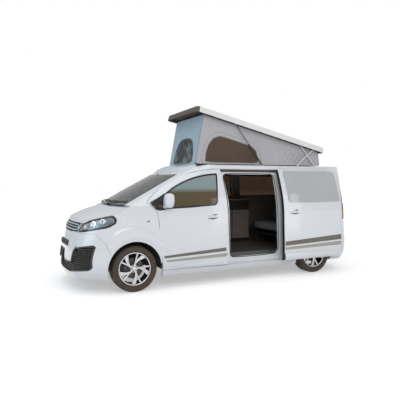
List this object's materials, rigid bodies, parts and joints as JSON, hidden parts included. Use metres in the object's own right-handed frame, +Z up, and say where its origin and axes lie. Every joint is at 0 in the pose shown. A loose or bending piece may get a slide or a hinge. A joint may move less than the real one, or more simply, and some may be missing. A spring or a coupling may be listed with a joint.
{
  "type": "camper van",
  "caption": "Camper van with a raised lifting roof on canvas walls, an open sliding side door, hinged front doors, bonnet and tailgate, and steered front wheels.",
  "frame": {"origin": "on the ground under the middle of the van's length and width", "axes": "+Y to the van's rear, +X to its left, +Z up"},
  "size_m": [2.21, 4.9598, 2.8091],
  "materials": {
    "paint": "gloss white paint",
    "black_plastic": "grained black plastic",
    "lamp": "clear lamp cover over chrome",
    "tail_lamp": "red lamp cover",
    "lamp_housing": "grey lamp housing",
    "glass": "tinted glass",
    "tyre": "rubber",
    "alloy": "machined alloy",
    "steel": "black steel",
    "iron": "cast iron",
    "interior": "soft plastic",
    "seat": "woven fabric",
    "cabinet": "laminate",
    "canvas": "woven tent cloth",
    "lid": "gelcoat"
  },
  "bodies": {
    "body": {"floor_pan": "interior", "side_left": "paint", "side_right": "paint", "roof_panel": "paint", "front_wings": "paint", "front_bumper": "paint", "grilles": "black_plastic", "headlamps": "lamp", "headlamp_housings": "lamp_housing", "wheel_liners": "black_plastic", "windscreen": "glass", "rear_bumper": "paint", "tail_lamps": "tail_lamp", "side_windows": "glass", "engine_block": "iron", "front_subframe": "steel", "rear_axle": "steel", "exhaust": "steel", "fuel_tank": "interior", "dashboard": "interior", "steering_wheel": "interior", "front_seats": "seat", "rear_bench": "seat", "kitchen_unit": "cabinet", "roof_fairing": "paint", "sliding_door": "paint", "sliding_door_glass": "glass", "door_rails": "black_plastic", "canvas": "canvas"},
    "bonnet": {"bonnet": "paint"},
    "front_door_left": {"door_left": "paint", "door_glass_left": "glass", "mirror_left": "paint"},
    "front_door_right": {"door_right": "paint", "door_glass_right": "glass", "mirror_right": "paint"},
    "tailgate": {"tailgate": "paint", "tailgate_glass": "glass"},
    "pop_top": {"pop_top_shell": "lid"},
    "scissor_rear": {"scissor_rear_arms": "steel"},
    "scissor_front": {"scissor_front_arms": "steel"},
    "strut_tube": {"strut_tubes": "steel"},
    "strut_rod": {"strut_rods": "steel"},
    "knuckle_left": {"knuckle_left": "iron"},
    "wheel_front_left": {"rim_front_left": "alloy", "tyre_front_left": "tyre"},
    "wheel_rear_left": {"rim_rear_left": "alloy", "tyre_rear_left": "tyre"},
    "knuckle_right": {"knuckle_right": "iron"},
    "wheel_front_right": {"rim_front_right": "alloy", "tyre_front_right": "tyre"},
    "wheel_rear_right": {"rim_rear_right": "alloy", "tyre_rear_right": "tyre"}
  },
  "joints": [
    {"name": "pop_top", "type": "hinge", "parent": "body", "child": "pop_top", "pos_m": [0, 3.15458, 1.9465], "axis": [1, 0, 0], "range_deg": [0, 12.9], "deforming": ["canvas"]},
    {"name": "scissor_rear", "type": "hinge", "parent": "body", "child": "scissor_rear", "pos_m": [0, 1.941, 1.892], "axis": [1, 0, 0], "range_deg": [0, 48.24]},
    {"name": "scissor_front", "type": "hinge", "parent": "body", "child": "scissor_front", "pos_m": [0, 1.534, 1.892], "axis": [-1, 0, 0], "range_deg": [0, 39.02]},
    {"name": "strut_swing", "type": "hinge", "parent": "body", "child": "strut_tube", "pos_m": [0, 0.793, 1.892], "axis": [1, 0, 0], "range_deg": [0, 51.89]},
    {"name": "strut_slide", "type": "slide", "parent": "strut_tube", "child": "strut_rod", "axis": [0, 0.6179, -0.7863], "range_m": [0, 0.25867]},
    {"name": "steer_left", "type": "hinge", "parent": "body", "child": "knuckle_left", "pos_m": [0.755, -1.5985, 0.338], "axis": [0, 0, 1], "range_deg": [-33, 33]},
    {"name": "steer_right", "type": "hinge", "parent": "body", "child": "knuckle_right", "pos_m": [-0.755, -1.5985, 0.338], "axis": [0, 0, 1], "range_deg": [-33, 33]},
    {"name": "door_left", "type": "hinge", "parent": "body", "child": "front_door_left", "pos_m": [0.966, -1.27, 0.7], "axis": [0, 0, -1], "range_deg": [0, 65]},
    {"name": "door_right", "type": "hinge", "parent": "body", "child": "front_door_right", "pos_m": [-0.966, -1.27, 0.7], "axis": [0, 0, 1], "range_deg": [0, 65]},
    {"name": "bonnet", "type": "hinge", "parent": "body", "child": "bonnet", "pos_m": [0, -1.64, 1.262], "axis": [-1, 0, 0], "range_deg": [0, 50]},
    {"name": "tailgate", "type": "hinge", "parent": "body", "child": "tailgate", "pos_m": [0, 2.345, 1.812], "axis": [1, 0, 0], "range_deg": [0, 85]},
    {"name": "spin_front_left", "type": "hinge", "parent": "knuckle_left", "child": "wheel_front_left", "pos_m": [0.815, -1.5985, 0.338], "axis": [1, 0, 0], "continuous": true},
    {"name": "spin_rear_left", "type": "hinge", "parent": "body", "child": "wheel_rear_left", "pos_m": [0.815, 1.6765, 0.338], "axis": [1, 0, 0], "continuous": true},
    {"name": "spin_front_right", "type": "hinge", "parent": "knuckle_right", "child": "wheel_front_right", "pos_m": [-0.815, -1.5985, 0.338], "axis": [1, 0, 0], "continuous": true},
    {"name": "spin_rear_right", "type": "hinge", "parent": "body", "child": "wheel_rear_right", "pos_m": [-0.815, 1.6765, 0.338], "axis": [1, 0, 0], "continuous": true}
  ],
  "couplings": [
    {"joint": "scissor_rear", "follows": "pop_top", "ratio": 3.736},
    {"joint": "scissor_front", "follows": "pop_top", "ratio": 3.0208},
    {"joint": "strut_swing", "follows": "pop_top", "ratio": 4.0186},
    {"joint": "strut_slide", "follows": "pop_top", "m_per_rad": 1.1444},
    {"joint": "steer_right", "follows": "steer_left", "ratio": 1}
  ]
}
